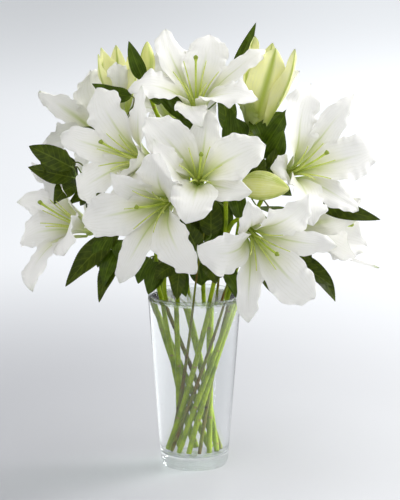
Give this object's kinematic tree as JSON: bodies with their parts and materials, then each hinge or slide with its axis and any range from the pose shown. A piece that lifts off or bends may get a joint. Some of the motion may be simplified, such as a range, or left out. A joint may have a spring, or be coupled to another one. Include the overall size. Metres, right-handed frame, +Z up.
{
  "type": "cut flowers in vase",
  "caption": "White oriental lilies, open, opening and in bud, with dark salal leaves, standing in water in a tapered clear glass vase.",
  "frame": {"origin": "centre of the vase's underside, on the surface it stands on", "axes": "+Z up along the vase's axis, -Y towards the arrangement's front, +X to the right seen from the front"},
  "size_m": [0.4957, 0.3818, 0.6062],
  "materials": {
    "vase_glass": "clear, polished",
    "water": "clear water",
    "lily_stem": "fresh green stem, satin",
    "salal_leaf": "dark green leaf, waxy, on a reddish brown twig",
    "petal": "white petal, soft satin",
    "style": "pale green filaments and pistil",
    "bud": "yellow green bud, satin"
  },
  "bodies": {
    "root": {"vase": "vase_glass", "water": "water", "stem_1": "lily_stem", "stem_2": "lily_stem", "stem_3": "lily_stem", "stem_4": "lily_stem", "stem_5": "lily_stem", "stem_6": "lily_stem", "stem_7": "lily_stem", "stem_8": "lily_stem", "stem_9": "lily_stem", "salal_back": "salal_leaf", "salal_left": "salal_leaf", "salal_front": "salal_leaf", "salal_right": "salal_leaf", "low_left_petals": "petal", "low_left_style": "style", "front_petals": "petal", "front_style": "style", "top_petals": "petal", "top_style": "style", "low_right_petals": "petal", "low_right_style": "style", "right_petals": "petal", "right_style": "style", "left_petals": "petal", "left_style": "style", "far_left_petals": "petal", "far_left_style": "style", "opening_petals": "petal", "opening_style": "style", "far_right_petals": "petal", "far_right_style": "style", "opening_left_petals": "petal", "back_left_petals": "petal", "back_left_style": "style", "back_petals": "petal", "back_style": "style", "bud_right": "bud", "bud_back": "bud"}
  },
  "joints": []
}
